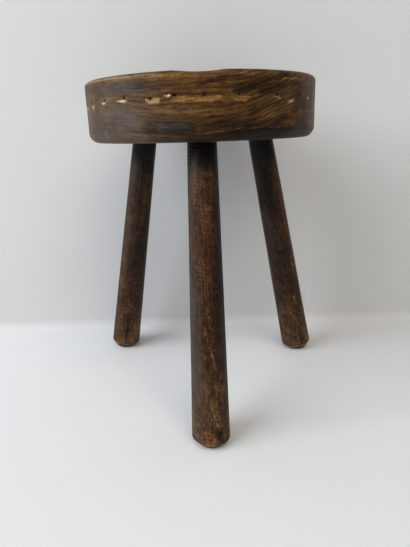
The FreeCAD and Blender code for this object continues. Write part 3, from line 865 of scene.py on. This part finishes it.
def leg_finish(side):
    finish, tree, shader, place = new_finish(f"old_{side}_leg_wood")
    seed, heart_turn, lightness = LEG_LOOKS[side]
    x, y, z = split(place)
    foot = leg_axis(side, 0) / MM
    lean = leg_axis(side, 0) - leg_axis(side, 1)
    x = x - foot.x + z * lean.x
    y = y - foot.y + z * lean.y

    # Rings round a heart beside the leg, so that they run up it as long stripes, and marks of a shave that
    # chattered across the grain
    heart = math.radians(heart_turn)
    heart_off = 34.0
    ring_width = 2.9
    shave_step = 4.4
    wander = cloud(join(x * 0.02, y * 0.02, z * 0.006 + seed * 7.0)) * 16.0
    off_x = x - heart_off * math.cos(heart)
    off_y = y - heart_off * math.sin(heart)
    ring = off_x * off_x + off_y * off_y
    ring = ring.work("SQRT") + wander
    streaks = cloud(join(ring * 0.30, z * 0.02, seed), detail=3.0, roughness=0.6)
    hairs = cloud(join(x * 0.8, y * 0.8, z * 0.16 + seed), detail=3.0, roughness=0.7)
    turn = ring * (math.tau / ring_width)
    late = (turn.work("SINE") * 0.5 + 0.5) ** 3.0
    mottle = cloud(join(x * 0.06, y * 0.06, z * 0.035 + seed * 3.0), detail=4.0, roughness=0.65)
    blotch = cloud(join(x * 0.17, y * 0.17, z * 0.15 + seed * 5.0), detail=3.0, roughness=0.7)
    grit = cloud(join(x * 0.42, y * 0.42, z * 0.20 + seed * 4.0), roughness=0.6)
    # The leg is painted darker just under the seat as painted shade, and lighter towards the foot, partly the
    # wood's own paler colour and partly painted light
    near_foot = z.between(170.0, 0.0)
    in_shade = z.between(318.0, 344.0) * z.between(420.0, 380.0)
    tone = 0.37 + lightness + streaks * (0.55 - near_foot * 0.2) + hairs * 0.6 - late * 0.08 + mottle * 0.5
    tone = tone + blotch * 0.5 + grit * 0.40 + near_foot * (0.10 + blotch * 0.6) - in_shade * 0.5
    chatter = z * (math.tau / shave_step) + mottle * 9.0 + x * 0.15
    chatter = chatter.work("SINE") * (mottle + painted(tree, "gold") * 0.2).between(-0.1, 0.2)
    tone = tone + painted(tree, "tone") + chatter * 0.035 * z.between(420.0, 380.0)
    colour = ramp(tone, (0.0, (0.003, 0.0015, 0.001)), (0.18, (0.010, 0.0045, 0.0025)),
                  (0.38, (0.034, 0.014, 0.0055)), (0.58, (0.082, 0.038, 0.013)),
                  (0.78, (0.155, 0.085, 0.033)), (1.0, (0.28, 0.180, 0.090)))
    # More golden where the stains say; on the front leg this is partly a painted highlight of the warm light
    colour = coloured(painted(tree, "gold"), colour, (1.18, 0.93, 0.70), blend="MULTIPLY")
    # Grey film and painted sheen: grey painted reflection of the cool light on the left of each leg
    grey_and_sheen = painted(tree, "film_and_sheen") + (mottle + near_foot * 0.25 + streaks * 0.4).between(0.05, 0.60) * 0.4
    grey_and_sheen = grey_and_sheen + grit * 0.5
    colour = coloured(grey_and_sheen * (0.7 - in_shade * 0.6), colour, (0.080, 0.063, 0.055))

    # Small reddish and pale flecks, and the rubbed edge of the foot, which is worn pale and painted lighter
    # as a highlight
    flecks = cloud(join(x * 0.5, y * 0.5, z * 0.3 + seed * 9.0)).between(0.15, 0.25)
    colour = coloured(flecks * (0.5 - in_shade * 0.4), colour, (0.21, 0.085, 0.026))
    pale = cloud(join(x * 0.4, y * 0.4, z * 0.5 + x * 0.25 + seed * 2.0))
    pale = pale.between(0.20, 0.27) * near_foot
    colour = coloured(pale * 0.5, colour, (0.28, 0.20, 0.13))
    edge = (painted(tree, "rubbed_and_lit") + blotch * 0.8 + hairs * 0.4).between(0.35, 0.8)
    colour = coloured(edge * 0.7, colour, (0.26, 0.165, 0.090))

    roughness = 0.42 + mottle * 0.2 + hairs * 0.14 + near_foot * 0.10 + edge * 0.08
    relief = streaks * 0.4 + hairs * 0.6 - late * 0.15 + blotch + chatter * 0.45
    finish_off(shader, colour, roughness, relief, 0.5, 0.6 * MM)
    return finish


def slit_blank(side, finish):
    """The slit that the wedge fills, along the leg's axis and across the seat's grain, open at the top."""
    top = leg_axis(side, SEAT_TOP).to_3d() + Vector((0, 0, SEAT_TOP))
    up_the_leg = (top - leg_axis(side, 0).to_3d()).normalized()
    across = up_the_leg.cross((0, 1, 0)).normalized()
    along = across.cross(up_the_leg)
    shape = bmesh.new()
    for depth in (WEDGE_DEPTH + SLIT_GAP, -SLIT_OVERRUN):
        half_width = SLIT_GAP + (WEDGE_HEAD + (WEDGE_TIP - WEDGE_HEAD) * depth / WEDGE_DEPTH) / 2
        for sideways, endways in ((-1, -1), (1, -1), (1, 1), (-1, 1)):
            corner = top - up_the_leg * depth + across * sideways * half_width
            shape.verts.new(corner + along * endways * SLIT_HALF_LENGTH)
    bmesh.ops.convex_hull(shape, input=shape.verts)
    bmesh.ops.recalc_face_normals(shape, faces=shape.faces)
    mesh = bpy.data.meshes.new("slit")
    shape.to_mesh(mesh)
    shape.free()
    mesh.materials.append(finish)
    return in_scene("slit", mesh)


for side, (reach, azimuth, foot_round) in LEGS.items():
    foot_edge = Vector((LEG_FOOT_RADIUS - foot_round, foot_round))
    tenon_top = SEAT_TOP + TENON_PROUD
    tenon_edge = (LEG_TOP_RADIUS, tenon_top - TENON_EDGE)
    outline = [
        *steps((0, 0), (foot_edge.x, 0), 8),
        *arc(foot_edge, foot_round, -90, 0, 10),
        *steps((LEG_FOOT_RADIUS, foot_round), (LEG_TOP_RADIUS, SEAT_UNDERSIDE), 240)[1:],
        *steps((LEG_TOP_RADIUS, SEAT_UNDERSIDE), tenon_edge, 16),
        tenon_edge,
        *steps((LEG_TOP_RADIUS - TENON_EDGE, tenon_top), (0, tenon_top), 8),
        (0, tenon_top),
    ]
    finish = leg_finish(side)
    leg = turn_piece(f"{side}_leg_shaved", outline, finish, **{
        "Places round": LEG_PLACES_ROUND, "Reach": reach, "Splay": math.radians(LEG_SPLAY),
        "Azimuth": math.radians(azimuth), "Unevenness": LEG_UNEVENNESS, "Bump length": LEG_BUMP_LENGTH,
        "Bump width": LEG_BUMP_WIDTH, "Even above": LEG_EVEN_ABOVE, "Seed": LEG_LOOKS[side][0]})

    width, height, more_width, more_height, deepest = FOOT_BEVELS[side]
    for corner in leg.data.vertices:
        axis = leg_axis(side, corner.co.z)
        out = corner.co.to_2d() - axis
        depth = math.cos(turn_of(out) - math.radians(deepest))
        inwards = (width + more_width * depth) * (1 - corner.co.z / MM / (height + more_height * depth))
        allowed = LEG_FOOT_RADIUS - inwards * MM
        if inwards > 0 and out.length > allowed:
            corner.co.xy = axis + out.normalized() * allowed
    close_up(leg)
    cut(leg, slit_blank(side, finish))
    close_up(leg)

    paint = {name: [] for name in ("tone", "gold", "film_and_sheen", "rubbed_and_lit")}
    for corner in leg.data.vertices:
        level = corner.co.z / MM
        turn = math.degrees(turn_of(corner.co.to_2d() - leg_axis(side, corner.co.z)))
        rough = noise.noise(corner.co * 120)
        tone, gold, film_and_sheen = 0.0, 0.0, 0.0
        if corner.co.z < SEAT_UNDERSIDE - 1 * MM:
            for middle, level_there, half_turn, half_height, lighter, golden, grey_and_sheen in STAINS_AND_PAINTED_LIGHT[side]:
                sideways = (turn + rough * 8 - middle) / half_turn
                upwards = (level + rough * 8 - level_there) / half_height
                share = math.exp(-sideways ** 2 - upwards ** 2)
                tone += lighter * share
                gold += golden * share
                film_and_sheen += grey_and_sheen * share
            for start, end, level_there, last_level, half_width, lighter in SCRATCHES[side]:
                way = Vector(((end - start) * TURN_MM, last_level - level_there))
                off_start = Vector(((turn - start) * TURN_MM, level - level_there))
                onwards = ease(off_start.dot(way), 0, way.length_squared)
                off = (off_start - way * onwards).length + rough * 0.5
                tone += lighter * math.exp(-(off / half_width) ** 2)
        bevel_top = height + more_height * math.cos(math.radians(turn - deepest))
        paint["tone"].append(tone)
        paint["gold"].append(gold)
        paint["film_and_sheen"].append(film_and_sheen)
        # The pale line along the top of the foot's bevel: worn, and a painted highlight
        paint["rubbed_and_lit"].append(math.exp(-((level - bevel_top + 0.5) / 2.2) ** 2) * 0.75)
    put_on(leg, paint)
    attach(leg, "root")
    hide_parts(f"{side}_leg")

# Wedges
# A thin wedge of paler hardwood in each tenon, driven in across the seat's grain and trimmed flush with the
# tenon, so that only its worn end shows.


def wedge_finish():
    finish, _, shader, place = new_finish("old_wedge_wood")
    x, y, z = split(place)
    grain = cloud(join(x * 1.2, y * 0.5, z * 0.05), detail=3.0, roughness=0.6)
    dirt = cloud(place, size=0.12, detail=3.0)
    colour = ramp(0.5 + grain * 0.8 + dirt * 0.7, (0.1, (0.035, 0.019, 0.009)), (0.5, (0.11, 0.065, 0.03)),
                  (0.95, (0.22, 0.145, 0.08)))
    finish_off(shader, colour, 0.5 + grain * 0.2, grain, 0.5, 0.4 * MM)
    return finish


WEDGE_WOOD = wedge_finish()
for side in LEGS:
    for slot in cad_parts[f"{side}_wedge"].material_slots:
        slot.material = WEDGE_WOOD

# Floor and backdrop
# A pale floor under the stool, and a pale wall close behind it that rises out of it in a small sweep. The
# wall can't be seen from behind.
FLOOR_COLOUR = (0.69, 0.70, 0.715)
WALL_COLOUR = (0.67, 0.675, 0.68)
WALL_AT = 0.195
WALL_HEIGHT = 1.6
SWEEP = 0.02
ROOM = 4.0


def stage_finish(name, colour):
    finish = bpy.data.materials.new(name)
    finish.use_nodes = True
    tree = finish.node_tree
    tree.nodes.clear()
    coordinates = put(tree, "ShaderNodeTexCoord").outputs["Object"]
    unevenness = cloud(coordinates, size=6.0) * 0.03 + 1.0
    shade = put(tree, "ShaderNodeVectorMath", {0: colour, "Scale": unevenness}, operation="SCALE").outputs[0]
    matt = put(tree, "ShaderNodeBsdfDiffuse", [shade]).outputs[0]
    clear = put(tree, "ShaderNodeBsdfTransparent").outputs[0]
    behind = put(tree, "ShaderNodeNewGeometry").outputs["Backfacing"]
    mixed = put(tree, "ShaderNodeMixShader", [behind, matt, clear]).outputs[0]
    put(tree, "ShaderNodeOutputMaterial", [mixed])
    return finish


def strip(name, profile, half_width, finish):
    """A sheet whose profile of y and z runs across the whole width, with its faces towards the stool."""
    mesh = bpy.data.meshes.new(name)
    corners = [(x, y, z) for y, z in profile for x in (-half_width, half_width)]
    faces = [(2 * i, 2 * i + 1, 2 * i + 3, 2 * i + 2) for i in range(len(profile) - 1)]
    mesh.from_pydata(corners, [], faces)
    mesh.materials.append(finish)
    mesh.shade_smooth()
    in_scene(name, mesh)


strip("floor", [(-ROOM, 0), (ROOM, 0)], ROOM, stage_finish("pale_floor", FLOOR_COLOUR))
sweep = arc(Vector((WALL_AT - SWEEP, SWEEP)), SWEEP, -90, 0, 9)
strip("wall", [*sweep, (WALL_AT, WALL_HEIGHT)], ROOM, stage_finish("pale_wall", WALL_COLOUR))

# Light
# Soft cool daylight from high on the left, and soft warm light from high on the right and in front. The room
# is pale all round and darker low in front, behind the camera.


def soft_light(name, place, target, size, power, colour):
    lamp = bpy.data.lights.new(name, "AREA")
    lamp.shape = "RECTANGLE"
    lamp.size = size[0]
    lamp.size_y = size[1]
    lamp.energy = power
    lamp.color = colour
    held = in_scene(name, lamp)
    held.location = place
    held.rotation_euler = (Vector(target) - Vector(place)).to_track_quat("-Z", "Y").to_euler()


LIT = (0.0, 0.0, 0.25)
SEEN_AIR = (0.72, 0.72, 0.72, 1)
soft_light("cool_window", (-2.40, -1.15, 2.10), LIT, (2.4, 2.4), 92.0, (0.90, 0.95, 1.0))
soft_light("warm_window", (0.95, -2.10, 3.10), LIT, (2.1, 2.1), 46.0, (1.0, 0.90, 0.77))
world = bpy.data.worlds.new("room")
world.use_nodes = True
sky = world.node_tree
sky.nodes.clear()
to_side, to_back, up = split(put(sky, "ShaderNodeTexCoord").outputs["Generated"])
dark_front = to_back.between(-0.35, -0.95) * up.between(0.7, 0.1)
strength = 0.44 - to_side * 0.14 - dark_front * 0.34
air = coloured(to_side.between(-0.6, 0.8), (0.93, 0.97, 1.0), (1.0, 0.93, 0.83))
room = put(sky, "ShaderNodeBackground", {"Color": air, "Strength": strength})
pale = put(sky, "ShaderNodeBackground", {"Color": SEEN_AIR})
seen = put(sky, "ShaderNodeLightPath").outputs["Is Camera Ray"]
mixed = put(sky, "ShaderNodeMixShader", [seen, room.outputs[0], pale.outputs[0]])
put(sky, "ShaderNodeOutputWorld", [mixed.outputs[0]])
bpy.context.scene.world = world

# Camera
# Where the photograph was taken from: 0.65 m in front of the seat's axis, a little higher than the seat's
# underside, and turned 18 degrees down.
CAMERA_BACK = 0.64514
CAMERA_HEIGHT = 0.37186
camera = bpy.data.cameras.new("camera")
camera.sensor_width = 36.0
camera.lens = 29.44
camera.clip_start = 0.05
held_camera = in_scene("camera", camera)
stand = Matrix.Translation((SEAT_MIDDLE.x, SEAT_MIDDLE.y - CAMERA_BACK, CAMERA_HEIGHT))
heading = Matrix.Rotation(math.radians(0.146), 4, "Z")
tilt = Matrix.Rotation(math.radians(71.956), 4, "X")
roll = Matrix.Rotation(math.radians(-1.846), 4, "Z")
held_camera.matrix_world = stand @ heading @ tilt @ roll
bpy.context.scene.camera = held_camera
bpy.context.scene.view_settings.view_transform = "Standard"

bpy.context.view_layer.update()
